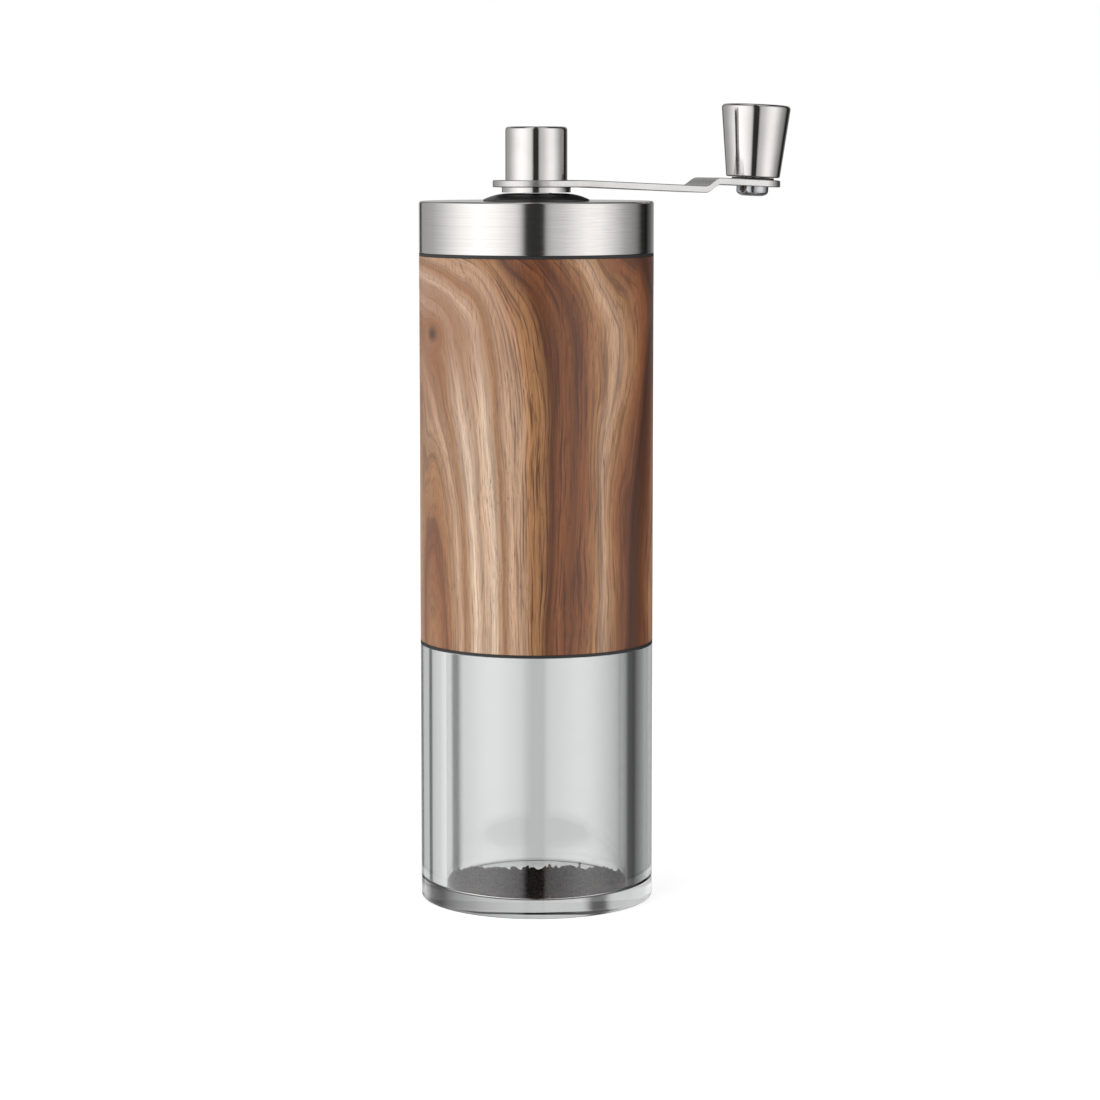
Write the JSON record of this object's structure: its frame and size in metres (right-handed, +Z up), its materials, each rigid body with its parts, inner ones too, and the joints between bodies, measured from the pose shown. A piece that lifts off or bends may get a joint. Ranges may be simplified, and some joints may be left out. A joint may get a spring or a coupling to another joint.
{
  "type": "burr coffee grinder",
  "caption": "Slim hand-cranked conical burr coffee grinder: clear grounds cup, wood-grained barrel, steel lid and lift-off steel crank with a tapered knob.",
  "frame": {"origin": "centre of the cup's underside, on the surface the grinder stands on", "axes": "+Z up along the shaft, +X from the shaft towards the knob at rest"},
  "size_m": [0.0838, 0.05, 0.1708],
  "materials": {
    "clear_acrylic": "clear, polished",
    "ground_coffee": "loose dark granules",
    "black_silicone": "matte",
    "wood_veneer": "satin lacquer, streaky brown grain",
    "black_plastic": "semi-gloss",
    "black_rubber": "matte",
    "grey_nylon": "fine moulded texture",
    "white_ceramic": "unglazed, sintered",
    "zinc_plated_steel": "bright plated",
    "acetal_bush": "waxy",
    "machined_steel": "turned",
    "spring_steel": "drawn, slightly blued",
    "black_nylon": "matte",
    "brushed_stainless": "fine circumferential satin over a polish",
    "satin_stainless": "tumbled satin",
    "polished_stainless": "polished"
  },
  "bodies": {
    "cup": {"grounds_cup": "clear_acrylic", "coffee_grounds": "ground_coffee", "cup_seal": "black_silicone"},
    "barrel": {"wood_sleeve": "wood_veneer", "inner_housing": "black_plastic", "lower_trim_ring": "black_rubber", "upper_trim_ring": "black_rubber", "burr_carrier": "grey_nylon", "outer_burr": "white_ceramic", "burr_retainer": "grey_nylon", "carrier_screws": "zinc_plated_steel", "bearing_spider": "grey_nylon", "upper_bush": "acetal_bush", "lower_bush": "acetal_bush"},
    "shaft": {"drive_shaft": "machined_steel", "shaft_circlip": "spring_steel", "thrust_washer": "machined_steel", "spring_washer": "machined_steel", "burr_spring": "spring_steel"},
    "burr": {"inner_burr": "white_ceramic", "burr_drive_plate": "machined_steel", "click_plate": "spring_steel"},
    "adjuster": {"adjusting_nut": "black_nylon"},
    "lid": {"lid_shell": "brushed_stainless", "lid_insert": "black_plastic", "lid_seal": "black_silicone"},
    "crank": {"crank_arm": "satin_stainless", "crank_hub": "polished_stainless", "hub_collar": "polished_stainless", "knob_screw": "zinc_plated_steel", "knob_washer": "black_nylon", "knob_clip": "spring_steel"},
    "knob": {"crank_knob": "polished_stainless", "knob_bush": "acetal_bush"}
  },
  "joints": [
    {"name": "barrel_lift", "type": "slide", "parent": "cup", "child": "barrel", "axis": [0, 0, 1], "range_m": [0, 0.03]},
    {"name": "shaft_spin", "type": "hinge", "parent": "barrel", "child": "shaft", "pos_m": [0, 0, 0.099], "axis": [0, 0, 1], "continuous": true},
    {"name": "lid_lift", "type": "slide", "parent": "barrel", "child": "lid", "axis": [0, 0, 1], "range_m": [0, 0.03]},
    {"name": "crank_lift", "type": "slide", "parent": "shaft", "child": "crank", "axis": [0, 0, 1], "range_m": [0, 0.05]},
    {"name": "knob_spin", "type": "hinge", "parent": "crank", "child": "knob", "pos_m": [0.0505, 0, 0.15429], "axis": [0.0454, 0, 0.999], "continuous": true},
    {"name": "burr_slide", "type": "slide", "parent": "shaft", "child": "burr", "axis": [0, 0, 1], "range_m": [-0.0015, 0.0002], "deforming": ["burr_spring"]},
    {"name": "adjuster_turn", "type": "hinge", "parent": "burr", "child": "adjuster", "pos_m": [0, 0, 0.0623], "axis": [0, 0, 1], "range_deg": [-543, 75]}
  ],
  "couplings": [
    {"joint": "lid_lift", "follows": "crank_lift", "ratio": 0.6},
    {"joint": "adjuster_turn", "follows": "burr_slide", "rad_per_m": 6283.2}
  ]
}
